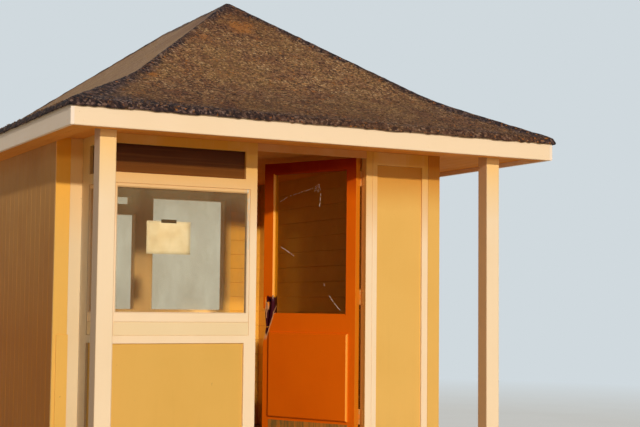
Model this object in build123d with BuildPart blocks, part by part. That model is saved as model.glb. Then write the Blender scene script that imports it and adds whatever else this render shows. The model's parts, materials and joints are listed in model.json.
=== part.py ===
from build123d import *
import os
from math import cos, radians, sin, tan

os.makedirs("parts", exist_ok=True)

# Beach hut with a bellcast hipped roof and a short ridge from front to rear. Millimetres, Z up.
# The origin is on the ground, under the middle of the roof. The front looks along -Y.

# Roof
fascia_bottom = 2100
fascia_thickness = 22
fascia_chamfer = 3
eaves_rise = 150
ridge_length = 1200
main_slope = 35.7
eaves_slope = 25.4
bellcast_run = 590
bend_radius = 1500
ridge_radius = 40
covering_thickness = 22
deck_thickness = 16
drip_overhang = 18
drip_depth = 46

# Ceiling and soffits, from the bottom of the fascias
ceiling_rise = 30
ceiling_thickness = 15
soffit_rise = 4
soffit_thickness = 16
soffit_width = 103

# Plan of the room. Setbacks are measured from the faces of the fascias
floor_thickness = 100
front_setback = 430
left_setback = 172
rear_verandah = 1372
right_verandah = 624
return_depth = 400
bay_offset = 168
wall_thickness = 92

# Verandah posts
post_size = 102
post_chamfer = 4
post_front_setback = 130
left_post_inset = 215
post_wall_gap = 178

# Boards on the corners
board_thickness = 18
corner_board_width = 91
repair_board_height = 812
repair_board_thickness = 9
repair_board_inset = 22
repair_board_lap = 4
board_chamfer = 3

# Joinery of the front, from left to right
bay_width = 1017
doorway_width = 794
hinge_jamb_width = 50
right_stile_near = 35
right_panel_width = 351
right_stile_far = 49
frame_depth = 70
frame_head = 59
right_head = 86
bottom_rail = 100

# Levels in the glazed bay
fanlight_height = 176
transom_height = 63
sash_height = 837
sill_board_height = 81
sill_rail = 47
bay_left_stile = 80
bay_right_stile = 47
fanlight_right_stile = 80
side_rear_stile = 155
side_front_stile = 84

# Sash, glass and panels
sash_top_rail = 26
sash_bottom_rail = 61
sash_stile = 17
sash_thickness = 40
sash_recess = 2
sash_groove = 4
glazing_bead = 8
glass_thickness = 4
fanlight_recess = 22
sill_board_thickness = 22
sill_board_recess = 3
panel_thickness = 12
panel_recess = 14
shadow_joint = 3

# Rear window: two lights side by side, a low fanlight over the left one
rear_window_gap = 272
rear_window_stile = 60
rear_light_width = 636
rear_light_height = 912
rear_mullion = 157
rear_transom = 84
rear_fanlight_inset = 42

# Door, with heights measured up from the bottom of the leaf
leaf_gap = 5
leaf_thickness = 44
leaf_recess = 17
threshold_thickness = 12
door_head_height = 37
rest_angle = 65
door_stile = 88
door_top_rail = 80
door_glass_sill = 936
door_glass_thickness = 5
door_glass_bead = 10
planted_panel_rise = 227
planted_panel_height = 578
planted_panel_inset = 56
planted_panel_thickness = 18
planted_panel_chamfer = 8
kick_plate_height = 208
kick_plate_thickness = 2
stop_size = 12

# Broken lock on the latch stile: how far in from the free edge, and how high above the leaf's bottom
torn_edge = [(0, 970), (13, 962), (20, 900), (27, 840), (17, 785), (7, 752), (0, 730)]
torn_pocket = [
    (18, 1046), (33, 1012), (44, 1040), (60, 1030), (70, 1044), (66, 960),
    (58, 900), (50, 842), (33, 786), (20, 780), (28, 850), (24, 940),
]
torn_pocket_depth = 34

# Hinges
pin_radius = 3
knuckle_radius = 6
pin_clearance = 0.4
hinge_height = 100
hinge_plate_thickness = 2
hinge_plate_width = 36
knuckle_gap = 0.5
bottom_hinge_rise = 213
top_hinge_drop = 88

# Sizes worked out from the ones above
room_width = (
    bay_offset + bay_width + doorway_width + hinge_jamb_width
    + right_stile_near + right_panel_width + right_stile_far + wall_thickness
)
roof_width = left_setback + room_width + right_verandah
roof_length = roof_width + ridge_length
half_width = roof_width / 2
half_length = roof_length / 2
covering_half = half_width + drip_overhang
eaves_top = fascia_bottom + eaves_rise
ceiling_height = fascia_bottom + ceiling_rise
soffit_height = fascia_bottom + soffit_rise
left_x = left_setback - half_width
bay_x = left_x + bay_offset
doorway_left = bay_x + bay_width
doorway_right = doorway_left + doorway_width
right_frame_x = doorway_right + hinge_jamb_width
right_frame_width = right_stile_near + right_panel_width + right_stile_far
right_board_x = right_frame_x + right_frame_width
right_x = right_board_x + wall_thickness
front_y = front_setback - half_length
return_y = front_y + return_depth
rear_y = half_length - rear_verandah
inner_half_width = half_width - fascia_thickness
inner_half_length = half_length - fascia_thickness
wall_height = ceiling_height - floor_thickness
low_corner = (Align.MIN, Align.MIN, Align.MIN)


def roof_section(plane, drop, base, ridge_half=0):
    """Section of the roof: a steep slope, a rounded bend and a flatter slope down to the eaves."""
    reach = covering_half + ridge_half
    eaves = eaves_top - drop
    bend = eaves + bellcast_run * tan(radians(eaves_slope))
    ridge = bend + (covering_half - bellcast_run) * tan(radians(main_slope))
    ridge_points = [(-ridge_half, ridge), (ridge_half, ridge)] if ridge_half else [(0, ridge)]
    right_side = [(reach - bellcast_run, bend), (reach, eaves), (reach, base)]
    left_side = [(-across, level) for across, level in reversed(right_side)]
    with BuildSketch(plane) as section:
        with BuildLine():
            Polyline(*ridge_points, *right_side, *left_side, close=True)
        make_face()
        fillet(section.vertices().filter_by_position(Axis.Y, bend - 1, bend + 1), bend_radius)
        if not ridge_half:
            fillet(section.vertices().sort_by(Axis.Y)[-1], ridge_radius)
    return section.sketch


def roof_volume(drop, reach, base):
    """Everything under the roof's surface, lowered by drop, down to base and out to reach at the sides."""
    ridge_half = ridge_length / 2
    with BuildPart() as volume:
        extrude(roof_section(Plane.XZ, drop, base), amount=reach + ridge_half, both=True)
        lengthwise = roof_section(Plane.YZ, drop, base, ridge_half)
        extrude(lengthwise, amount=reach, both=True, mode=Mode.INTERSECT)
    return volume.part


def save(piece, name):
    piece.label = name
    export_step(piece, f"parts/{name}.step")


# Floor: a boarded platform, with a narrower piece under the bay and the doorway
floor_platforms = {
    "floor": (left_x, return_y, right_x, rear_y),
    "bay_floor": (bay_x, front_y, right_x, return_y),
}
for name, (x, y, end_x, end_y) in floor_platforms.items():
    with BuildPart() as platform:
        with Locations((x, y, 0)):
            Box(end_x - x, end_y - y, floor_thickness, align=low_corner)
    save(platform.part, name)

# Posts: square timber with the long edges taken off
post_y = post_front_setback - half_length
left_post_x = left_post_inset - half_width
right_post_x = right_x + post_wall_gap
post_places = {
    "left_post": (left_post_x, post_y),
    "right_post": (right_post_x, post_y),
    "rear_left_post": (left_post_x, -post_y - post_size),
    "rear_post": (right_post_x, -post_y - post_size),
}
for name, (x, y) in post_places.items():
    with BuildPart() as post:
        with Locations((x, y, 0)):
            Box(post_size, post_size, ceiling_height, align=low_corner)
        chamfer(post.edges().filter_by(Axis.Z), post_chamfer)
    save(post.part, name)

# Roof: covering over boarding, both hollow underneath
boarding_drop = covering_thickness
underside_drop = covering_thickness + deck_thickness
drip_bottom = eaves_top - drip_depth
under_roof = roof_volume(underside_drop, half_width, fascia_bottom - fascia_thickness)

with BuildPart() as roof_covering:
    add(roof_volume(0, covering_half, drip_bottom))
    add(roof_volume(boarding_drop, half_width, drip_bottom - covering_thickness), mode=Mode.SUBTRACT)
save(roof_covering.part, "roof_covering")

with BuildPart() as roof_deck:
    add(roof_volume(boarding_drop, half_width, fascia_bottom))
    add(under_roof, mode=Mode.SUBTRACT)
save(roof_deck.part, "roof_deck")

# Fascias: the side boards run past the ends of the front and rear ones, tops cut to the slope
fascia_boards = {
    "front_fascia": (-inner_half_width, -half_length, 2 * inner_half_width, fascia_thickness),
    "rear_fascia": (-inner_half_width, inner_half_length, 2 * inner_half_width, fascia_thickness),
    "left_fascia": (-half_width, -half_length, fascia_thickness, roof_length),
    "right_fascia": (inner_half_width, -half_length, fascia_thickness, roof_length),
}
for name, (x, y, length, width) in fascia_boards.items():
    with BuildPart() as fascia:
        with Locations((x, y, fascia_bottom)):
            Box(length, width, eaves_top - fascia_bottom, align=low_corner)
        add(under_roof, mode=Mode.INTERSECT)
        chamfer(fascia.faces().sort_by(Axis.Z)[0].edges(), fascia_chamfer)
    save(fascia.part, name)

# Soffit boards at fascia level, and the higher ceiling over the verandahs and the room
rear_soffit_y = inner_half_length - soffit_width
soffit_boards = {
    "front_soffit": (-inner_half_width, -inner_half_length, 2 * inner_half_width, soffit_width),
    "rear_soffit": (-inner_half_width, rear_soffit_y, 2 * inner_half_width, soffit_width),
    "left_soffit": (-inner_half_width, -rear_soffit_y, left_x + inner_half_width, 2 * rear_soffit_y),
}
for name, (x, y, length, width) in soffit_boards.items():
    with BuildPart() as soffit:
        with Locations((x, y, soffit_height)):
            Box(length, width, soffit_thickness, align=low_corner)
    save(soffit.part, name)

with BuildPart() as ceiling:
    with Locations((-inner_half_width, -inner_half_length, ceiling_height)):
        Box(2 * inner_half_width, 2 * inner_half_length, ceiling_thickness, align=low_corner)
save(ceiling.part, "ceiling")

# Walls: framed and boarded, one slab each
wall_slabs = {
    "left_wall": (left_x, return_y + board_thickness, wall_thickness, rear_y),
    "right_wall": (right_x - wall_thickness, front_y + board_thickness, wall_thickness, rear_y),
}
for name, (x, y, width, end_y) in wall_slabs.items():
    with BuildPart() as wall:
        with Locations((x, y, floor_thickness)):
            Box(width, end_y - y, wall_height, align=low_corner)
    save(wall.part, name)

# Return beside the bay: a post with a white board, and the yellow corner board with its repair
with BuildPart() as left_corner_board:
    with Locations((left_x, return_y, floor_thickness)):
        Box(corner_board_width, board_thickness, wall_height, align=low_corner)
save(left_corner_board.part, "left_corner_board")

with BuildPart() as repair_board:
    with Locations((left_x + repair_board_inset, return_y - repair_board_thickness, floor_thickness)):
        Box(
            corner_board_width - repair_board_inset + repair_board_lap,
            repair_board_thickness, repair_board_height, align=low_corner,
        )
    chamfer(repair_board.faces().sort_by(Axis.Z)[-1].edges().sort_by(Axis.Y)[0], board_chamfer)
save(repair_board.part, "repair_board")

with BuildPart() as return_board:
    with Locations((left_x + corner_board_width, return_y, floor_thickness)):
        Box(bay_offset - corner_board_width, board_thickness, wall_height, align=low_corner)
save(return_board.part, "return_board")

with BuildPart() as return_post:
    with Locations((left_x + wall_thickness, return_y + board_thickness, floor_thickness)):
        Box(bay_offset + frame_depth - wall_thickness, wall_thickness, wall_height, align=low_corner)
save(return_post.part, "return_post")

# Glazed bay: its front and its short side share one set of levels
fanlight_top = ceiling_height - frame_head
fanlight_bottom = fanlight_top - fanlight_height
sash_top = fanlight_bottom - transom_height
sash_bottom = sash_top - sash_height
sill_board_bottom = sash_bottom - sill_board_height
panel_top = sill_board_bottom - sill_rail
panel_bottom = floor_thickness + bottom_rail
side_start = return_y + board_thickness
side_width = side_start - front_y - frame_depth
bay_faces = {
    "front": (
        Plane(origin=(bay_x, front_y, 0), x_dir=(1, 0, 0), z_dir=(0, -1, 0)),
        bay_width, bay_left_stile, bay_right_stile, fanlight_right_stile,
    ),
    "side": (
        Plane(origin=(bay_x, side_start, 0), x_dir=(0, -1, 0), z_dir=(-1, 0, 0)),
        side_width, side_rear_stile, side_front_stile, side_front_stile,
    ),
}


def opening(left, right, bottom, top, mode=Mode.ADD):
    """A rectangle between two widths and two levels of the sketch plane."""
    with Locations(((left + right) / 2, (bottom + top) / 2)):
        Rectangle(right - left, top - bottom, mode=mode)


for face, (outside, width, left, right, high_right) in bay_faces.items():
    sash_right = width - right
    with BuildPart() as bay_frame:
        with BuildSketch(outside):
            opening(0, width, floor_thickness, ceiling_height)
            opening(left, width - high_right, fanlight_bottom, fanlight_top, Mode.SUBTRACT)
            opening(left, sash_right, sill_board_bottom, sash_top, Mode.SUBTRACT)
            opening(left, width - high_right, panel_bottom, panel_top, Mode.SUBTRACT)
        extrude(amount=-frame_depth)
    save(bay_frame.part, f"{face}_bay_frame")

    with BuildPart() as sash:
        with BuildSketch(outside.offset(-sash_recess)):
            opening(left, sash_right, sash_bottom, sash_top)
            opening(
                left + sash_stile, sash_right - sash_stile,
                sash_bottom + sash_bottom_rail, sash_top - sash_top_rail, Mode.SUBTRACT,
            )
        extrude(amount=-sash_thickness)
        outer_rim = sash.faces().sort_by(Axis(outside.origin, outside.z_dir))[-1]
        chamfer(outer_rim.outer_wire().edges(), sash_groove)
        outer_rim = sash.faces().sort_by(Axis(outside.origin, outside.z_dir))[-1]
        chamfer(outer_rim.inner_wires().edges(), glazing_bead)
    save(sash.part, f"{face}_sash")

    with BuildPart() as window_glass:
        with BuildSketch(outside.offset(-sash_recess - sash_thickness / 2)):
            opening(
                left + sash_stile, sash_right - sash_stile,
                sash_bottom + sash_bottom_rail, sash_top - sash_top_rail,
            )
        extrude(amount=-glass_thickness)
    save(window_glass.part, f"{face}_window_glass")

    with BuildPart() as fanlight:
        with BuildSketch(outside.offset(-fanlight_recess)):
            opening(left, width - high_right, fanlight_bottom, fanlight_top)
        extrude(amount=-glass_thickness)
    save(fanlight.part, f"{face}_fanlight")

    with BuildPart() as sill_board:
        with BuildSketch(outside.offset(-sill_board_recess - shadow_joint)):
            opening(left, sash_right, sill_board_bottom, sash_bottom)
        extrude(amount=shadow_joint - sill_board_thickness)
        with BuildSketch(outside.offset(-sill_board_recess - shadow_joint)):
            opening(
                left + shadow_joint, sash_right - shadow_joint,
                sill_board_bottom + shadow_joint, sash_bottom - shadow_joint,
            )
        extrude(amount=shadow_joint)
    save(sill_board.part, f"{face}_sill_board")

    with BuildPart() as lower_panel:
        with BuildSketch(outside.offset(-panel_recess)):
            opening(left, width - high_right, panel_bottom, panel_top)
        extrude(amount=-panel_thickness)
    save(lower_panel.part, f"{face}_lower_panel")

# Rear wall, and its window at the levels of the bay
rear_face = Plane(origin=(0, rear_y, 0), x_dir=(1, 0, 0), z_dir=(0, -1, 0))
room_left = left_x + wall_thickness
room_right = right_x - wall_thickness
rear_frame_right = room_right - rear_window_gap
right_light_right = rear_frame_right - rear_window_stile
right_light_left = right_light_right - rear_light_width
left_light_right = right_light_left - rear_mullion
left_light_left = left_light_right - rear_light_width
rear_frame_left = left_light_left - rear_window_stile
rear_lights_bottom = sash_bottom + sash_bottom_rail + glazing_bead
rear_lights_top = rear_lights_bottom + rear_light_height
rear_frame_bottom = rear_lights_bottom - rear_window_stile
rear_frame_top = rear_lights_top + rear_window_stile
rear_lights = (
    (left_light_left, left_light_right, rear_lights_bottom, sash_top),
    (left_light_left, left_light_right - rear_fanlight_inset, sash_top + rear_transom, rear_lights_top),
    (right_light_left, right_light_right, rear_lights_bottom, rear_lights_top),
)

with BuildPart() as rear_wall:
    with BuildSketch(rear_face):
        opening(room_left, room_right, floor_thickness, ceiling_height)
        opening(rear_frame_left, rear_frame_right, rear_frame_bottom, rear_frame_top, Mode.SUBTRACT)
    extrude(amount=wall_thickness)
save(rear_wall.part, "rear_wall")

with BuildPart() as rear_window_frame:
    with BuildSketch(rear_face):
        opening(rear_frame_left, rear_frame_right, rear_frame_bottom, rear_frame_top)
        for light in rear_lights:
            opening(*light, Mode.SUBTRACT)
    extrude(amount=wall_thickness)
    for side in (0, -1):
        chamfer(rear_window_frame.faces().sort_by(Axis.Y)[side].inner_wires().edges(), glazing_bead)
save(rear_window_frame.part, "rear_window_frame")

with BuildPart() as rear_window_glass:
    with BuildSketch(rear_face.offset((wall_thickness - glass_thickness) / 2)):
        for light in rear_lights:
            opening(*light)
    extrude(amount=glass_thickness)
save(rear_window_glass.part, "rear_window_glass")

# Doorway: jamb as deep as the closed leaf, head with its stop, and threshold
with BuildPart() as hinge_jamb:
    with Locations((doorway_right, front_y, floor_thickness)):
        Box(hinge_jamb_width, leaf_recess + leaf_thickness, wall_height, align=low_corner)
    front_edges = hinge_jamb.faces().sort_by(Axis.Y)[0].edges().filter_by(Axis.Z)
    chamfer(front_edges, board_chamfer)
save(hinge_jamb.part, "hinge_jamb")

head_bottom = ceiling_height - door_head_height
with BuildPart() as door_head:
    with BuildSketch(Plane.YZ.offset(doorway_left)):
        opening(front_y, front_y + frame_depth, head_bottom, ceiling_height)
        opening(front_y, front_y + stop_size, head_bottom - stop_size, head_bottom)
    extrude(amount=doorway_width)
save(door_head.part, "door_head")

with BuildPart() as threshold:
    with Locations((doorway_left, front_y, floor_thickness)):
        Box(doorway_width, frame_depth, threshold_thickness, align=low_corner)
    chamfer(threshold.faces().sort_by(Axis.Z)[-1].edges().sort_by(Axis.Y)[0], threshold_thickness / 2)
save(threshold.part, "threshold")

# Panelled bay on the right of the door, and its corner board
right_panel_top = ceiling_height - right_head
right_panel_left = right_frame_x + right_stile_near
right_panel_right = right_panel_left + right_panel_width
front_face = Plane(origin=(0, front_y, 0), x_dir=(1, 0, 0), z_dir=(0, -1, 0))
with BuildPart() as right_frame:
    with BuildSketch(front_face):
        opening(right_frame_x, right_board_x, floor_thickness, ceiling_height)
        opening(right_panel_left, right_panel_right, panel_bottom, right_panel_top, Mode.SUBTRACT)
    extrude(amount=-frame_depth)
    front_edges = right_frame.faces().sort_by(Axis.Y)[0].outer_wire().edges().filter_by(Axis.Z)
    chamfer(front_edges, board_chamfer)
save(right_frame.part, "right_frame")

with BuildPart() as right_panel:
    with BuildSketch(front_face.offset(-panel_recess)):
        opening(right_panel_left, right_panel_right, panel_bottom, right_panel_top)
    extrude(amount=-panel_thickness)
save(right_panel.part, "right_panel")

with BuildPart() as right_corner_board:
    with Locations((right_board_x, front_y, floor_thickness)):
        Box(wall_thickness, board_thickness, wall_height, align=low_corner)
save(right_corner_board.part, "right_corner_board")

# Door, drawn on a plane through the hinge pin: x runs to the free edge, z points into the room
leaf_bottom = floor_thickness + threshold_thickness + leaf_gap
leaf_top = head_bottom - leaf_gap
leaf_edge = leaf_gap / 2
leaf_width = doorway_width - 2 * leaf_gap
leaf_free_edge = leaf_edge + leaf_width
inner_face = -knuckle_radius
outer_face = inner_face - leaf_thickness
pin_x = doorway_right - leaf_edge
pin_y = front_y + leaf_recess - outer_face
swing = radians(rest_angle)
door_plane = Plane(
    origin=(pin_x, pin_y, 0),
    x_dir=(-cos(swing), sin(swing), 0),
    z_dir=(sin(swing), cos(swing), 0),
)
glass_left = leaf_edge + door_stile
glass_right = leaf_free_edge - door_stile
glass_top = leaf_top - door_top_rail
glass_bottom = leaf_bottom + door_glass_sill
across_leaf = Axis(door_plane.origin, door_plane.z_dir)


def from_free_edge(points):
    """Points on the leaf, given as how far in from the free edge and how high above the bottom."""
    return [(leaf_free_edge - inset, leaf_bottom + rise) for inset, rise in points]


with BuildPart() as door_leaf:
    with BuildSketch(door_plane.offset(outer_face)):
        opening(leaf_edge, leaf_free_edge, leaf_bottom, leaf_top)
        opening(glass_left, glass_right, glass_bottom, glass_top, Mode.SUBTRACT)
    extrude(amount=leaf_thickness)
    chamfer(door_leaf.faces().sort_by(across_leaf)[0].inner_wires().edges(), door_glass_bead)
    with BuildSketch(door_plane.offset(outer_face)) as torn_notch:
        with BuildLine():
            Polyline(from_free_edge(torn_edge), close=True)
        make_face()
    extrude(amount=leaf_thickness, mode=Mode.SUBTRACT)
    with BuildSketch(door_plane.offset(outer_face)) as lock_pocket:
        with BuildLine():
            Polyline(from_free_edge(torn_pocket), close=True)
        make_face()
    extrude(amount=torn_pocket_depth, mode=Mode.SUBTRACT)
save(door_leaf.part, "door_leaf")

with BuildPart() as door_glass:
    with BuildSketch(door_plane.offset(inner_face - leaf_thickness / 2)):
        opening(glass_left, glass_right, glass_bottom, glass_top)
    extrude(amount=-door_glass_thickness)
save(door_glass.part, "door_glass")

with BuildPart() as door_panel:
    with BuildSketch(door_plane.offset(outer_face)):
        opening(
            leaf_edge + planted_panel_inset, leaf_free_edge - planted_panel_inset,
            leaf_bottom + planted_panel_rise,
            leaf_bottom + planted_panel_rise + planted_panel_height,
        )
    extrude(amount=-planted_panel_thickness)
    chamfer(door_panel.faces().sort_by(across_leaf)[0].edges(), planted_panel_chamfer)
save(door_panel.part, "door_panel")

with BuildPart() as kick_plate:
    with BuildSketch(door_plane.offset(outer_face)):
        opening(
            leaf_edge + planted_panel_inset, leaf_free_edge - planted_panel_inset,
            leaf_bottom, leaf_bottom + kick_plate_height,
        )
    extrude(amount=-kick_plate_thickness)
save(kick_plate.part, "kick_plate")

# Butt hinges: the jamb half holds the pin and the outer knuckles, the door half the middle one
knuckle_height = (hinge_height - 2 * knuckle_gap) / 3
middle_knuckle = knuckle_height + knuckle_gap
top_knuckle = 2 * middle_knuckle
plate_inner = leaf_edge - hinge_plate_thickness
plate_start = knuckle_radius + knuckle_gap
lowest_hinge = leaf_bottom + bottom_hinge_rise
highest_hinge = leaf_top - top_hinge_drop - hinge_height
hinge_levels = (lowest_hinge, (lowest_hinge + highest_hinge) / 2, highest_hinge)
jamb_side = Plane(origin=(pin_x, pin_y, 0), x_dir=(1, 0, 0), z_dir=(0, 0, 1))
door_side = Plane(origin=(pin_x, pin_y, 0), x_dir=door_plane.x_dir, z_dir=(0, 0, 1))

with BuildPart() as jamb_hinges:
    for level in hinge_levels:
        with BuildSketch(jamb_side.offset(level)):
            opening(plate_inner, leaf_edge, -hinge_plate_width, -plate_start)
            Circle(pin_radius)
        extrude(amount=hinge_height)
        for start in (level, level + top_knuckle):
            with BuildSketch(jamb_side.offset(start)):
                opening(plate_inner, leaf_edge, -plate_start, 0)
                Circle(knuckle_radius)
            extrude(amount=knuckle_height)
save(jamb_hinges.part, "jamb_hinges")

with BuildPart() as door_hinges:
    for level in hinge_levels:
        with BuildSketch(door_side.offset(level)):
            opening(plate_inner, leaf_edge, plate_start, hinge_plate_width)
        extrude(amount=hinge_height)
        with BuildSketch(door_side.offset(level + middle_knuckle)):
            opening(plate_inner, leaf_edge, 0, plate_start)
            Circle(knuckle_radius)
            Circle(pin_radius + pin_clearance, mode=Mode.SUBTRACT)
        extrude(amount=knuckle_height)
save(door_hinges.part, "door_hinges")
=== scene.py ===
import json
from math import ceil, cos, pi, radians, sin, sqrt, tan
import random
import bmesh
import bpy
from mathutils import Matrix, Vector, noise


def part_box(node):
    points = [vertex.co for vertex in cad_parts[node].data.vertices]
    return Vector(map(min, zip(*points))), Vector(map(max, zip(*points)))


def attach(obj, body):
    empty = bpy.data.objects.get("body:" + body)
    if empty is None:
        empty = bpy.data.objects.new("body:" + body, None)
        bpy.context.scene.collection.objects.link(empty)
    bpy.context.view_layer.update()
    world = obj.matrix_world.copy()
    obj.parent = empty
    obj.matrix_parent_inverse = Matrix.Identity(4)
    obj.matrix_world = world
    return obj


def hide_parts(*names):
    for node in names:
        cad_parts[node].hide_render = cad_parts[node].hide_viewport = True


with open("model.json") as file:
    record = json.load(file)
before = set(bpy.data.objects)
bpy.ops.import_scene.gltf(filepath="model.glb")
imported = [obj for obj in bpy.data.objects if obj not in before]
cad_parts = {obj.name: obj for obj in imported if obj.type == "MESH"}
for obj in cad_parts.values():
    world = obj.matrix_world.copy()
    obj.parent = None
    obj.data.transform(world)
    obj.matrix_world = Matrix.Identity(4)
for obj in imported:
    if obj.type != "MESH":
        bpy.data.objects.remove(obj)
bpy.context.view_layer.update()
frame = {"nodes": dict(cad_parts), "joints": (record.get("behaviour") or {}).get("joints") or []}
scene = bpy.context.scene

# Camera: low and left of the front, turned to the right and tipped up a little.
# Its place, turn and focal length were fitted to the lines of the roof, the posts and the window.
camera_place = Vector((-3.853, -9.370, 1.100))
camera_turn = radians(27.90)
camera_pitch = radians(4.04)
camera_roll = radians(0.59)
photo_width = 640
photo_focal = 1317.2
sensor_width = 36.0

camera_data = bpy.data.cameras.new("camera")
camera_data.sensor_width = sensor_width
camera_data.lens = photo_focal * sensor_width / photo_width
camera = bpy.data.objects.new("camera", camera_data)
camera.matrix_world = (
    Matrix.Translation(camera_place)
    @ Matrix.Rotation(-camera_turn, 4, "Z")
    @ Matrix.Rotation(pi / 2 + camera_pitch, 4, "X")
    @ Matrix.Rotation(camera_roll, 4, "Z")
)
scene.collection.objects.link(camera)
scene.camera = camera

# Studio: a plain pale floor that fades into an even backdrop, and an even pale sky.
# One lamp stands a little left of the front, a weak lower one reaches under the eaves,
# a third, as low, lights only what is inside the room, and a soft one fills in the far side.
scene.view_settings.view_transform = "Standard"
lamp_left = radians(12)
room_side = radians(14)
sky_power = 0.15
far_side = radians(205)
lamp_settings = {
    "front_lamp": (lamp_left, radians(17), radians(1.5), 2.22),
    "low_lamp": (lamp_left, radians(6), radians(3.0), 0.26),
    "room_lamp": (room_side, radians(6), radians(2.0), 2.60),
    "fill_lamp": (far_side, radians(22), radians(24.0), 1.00),
}
lamps = {}
for name, (side, height, spread, power) in lamp_settings.items():
    to_lamp = Vector((-sin(side) * cos(height), -cos(side) * cos(height), sin(height)))
    lamp_data = bpy.data.lights.new(name, "SUN")
    lamp_data.energy = power
    lamp_data.angle = spread
    lamps[name] = bpy.data.objects.new(name, lamp_data)
    lamps[name].rotation_euler = to_lamp.to_track_quat("Z", "Y").to_euler()
    scene.collection.objects.link(lamps[name])
room = bpy.data.collections.new("room")
lamps["room_lamp"].light_linking.receiver_collection = room


def colour(red, green, blue):
    """A colour written as it is seen, 0 to 255, as the linear light that a shader takes."""
    seen = (channel / 255 for channel in (red, green, blue))
    return (*(c / 12.92 if c < 0.04045 else ((c + 0.055) / 1.055) ** 2.4 for c in seen), 1.0)


class Shade:
    """One output in a shader tree, so that sums on it are written as plain expressions."""

    def __init__(self, finish, socket):
        self.finish = finish
        self.socket = socket

    def __add__(self, other):
        return self.finish.maths("ADD", self, other)

    def __sub__(self, other):
        return self.finish.maths("SUBTRACT", self, other)

    def __rsub__(self, other):
        return self.finish.maths("SUBTRACT", other, self)

    def __mul__(self, other):
        return self.finish.maths("MULTIPLY", self, other)

    __radd__ = __add__
    __rmul__ = __mul__


class Finish:
    """The shader tree of a material or of the world."""

    def __init__(self, owner):
        self.owner = owner
        owner.use_nodes = True
        self.tree = owner.node_tree
        self.tree.nodes.clear()

    def node(self, kind, inputs=None, **settings):
        """Adds a node: its settings first, then the value or the link of each socket."""
        made = self.tree.nodes.new(f"ShaderNode{kind}")
        for setting, value in settings.items():
            if setting == "stops":
                while len(made.color_ramp.elements) < len(value):
                    made.color_ramp.elements.new(1.0)
                for element, (position, tone) in zip(made.color_ramp.elements, value):
                    element.position = position
                    element.color = tone
            else:
                setattr(made, setting, value)
        for name, value in (inputs or {}).items():
            if isinstance(name, int):
                socket = made.inputs[name]
            else:
                socket = next(s for s in made.inputs if s.enabled and s.name == name)
            if isinstance(value, Shade):
                self.tree.links.new(value.socket, socket)
            else:
                socket.default_value = value
        return {s.name: Shade(self, s) for s in made.outputs if s.enabled}

    def maths(self, operation, *values):
        return self.node("Math", dict(enumerate(values)), operation=operation)["Value"]

    def larger(self, first, second):
        return self.maths("MAXIMUM", first, second)

    def smaller(self, first, second):
        return self.maths("MINIMUM", first, second)

    def size(self, value):
        return self.maths("ABSOLUTE", value)

    def far(self, x, y):
        """How far away the point x, y is."""
        return self.maths("SQRT", x * x + y * y)

    def place(self):
        """The point on the piece, in the frame's metres."""
        return self.node("TexCoord")["Object"]

    def axes(self, vector=None):
        """The three parts of a vector, or else of the point on the piece."""
        parts = self.node("SeparateXYZ", {0: vector or self.place()})
        return [parts[axis] for axis in "XYZ"]

    def facing(self, direction):
        """How squarely the surface faces a direction, from -1 to 1."""
        inputs = {0: self.node("TexCoord")["Normal"], 1: direction}
        return self.node("VectorMath", inputs, operation="DOT_PRODUCT")["Value"]

    def noise(self, scale, detail=2.0, roughness=0.5):
        """Soft random patches, all of one scale or drawn out by a scale for each axis."""
        place = self.place()
        if isinstance(scale, tuple):
            place = self.node("VectorMath", {0: place, 1: scale}, operation="MULTIPLY")["Vector"]
            scale = 1.0
        inputs = {"Vector": place, "Scale": scale, "Detail": detail, "Roughness": roughness}
        return self.node("TexNoise", inputs)["Fac"]

    def ramp(self, value, *stops):
        return self.node("ValToRGB", {"Fac": value}, stops=stops)["Color"]

    def level(self, value, low, high):
        """0 at low, 1 at high, and even between."""
        inputs = {"Value": value, "From Min": low, "From Max": high, "To Min": 0.0, "To Max": 1.0}
        return self.node("MapRange", inputs, clamp=True)["Result"]

    def mix(self, share, first, second, blend="MIX"):
        inputs = {"Factor": share, "A": first, "B": second}
        return self.node("Mix", inputs, data_type="RGBA", blend_type=blend)["Result"]

    def bump(self, height, distance, strength):
        inputs = {"Height": height, "Distance": distance, "Strength": strength}
        return self.node("Bump", inputs)["Normal"]

    def surface(self, shader):
        kind = "World" if isinstance(self.owner, bpy.types.World) else "Material"
        self.node(f"Output{kind}", {"Surface": shader})
        return self.owner

    def finished(self, tone, roughness, height, depth, strength, specular=0.2, metallic=0.0):
        """The material of a surface: its tone, its roughness, and its relief of a depth in metres."""
        return self.surface(self.node("BsdfPrincipled", {
            "Base Color": tone, "Roughness": roughness, "Metallic": metallic,
            "Specular IOR Level": specular, "Normal": self.bump(height, depth, strength),
        })["BSDF"])


def material(name):
    """A new material, ready for its shader tree."""
    return Finish(bpy.data.materials.new(name))


def seen_share(finish):
    """1 for rays that show the surroundings, in the view, in a reflection or through glass."""
    path = finish.node("LightPath")
    seen = path["Is Camera Ray"] + path["Is Glossy Ray"] + path["Is Transmission Ray"]
    return finish.smaller(seen, 1.0)


backdrop = colour(208, 217, 222)
scene.world = bpy.data.worlds.new("sky")
sky = Finish(scene.world)
sky_colour = sky.mix(seen_share(sky), (sky_power, sky_power, sky_power, 1.0), backdrop)
sky.surface(sky.node("Background", {"Color": sky_colour})["Background"])

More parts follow.
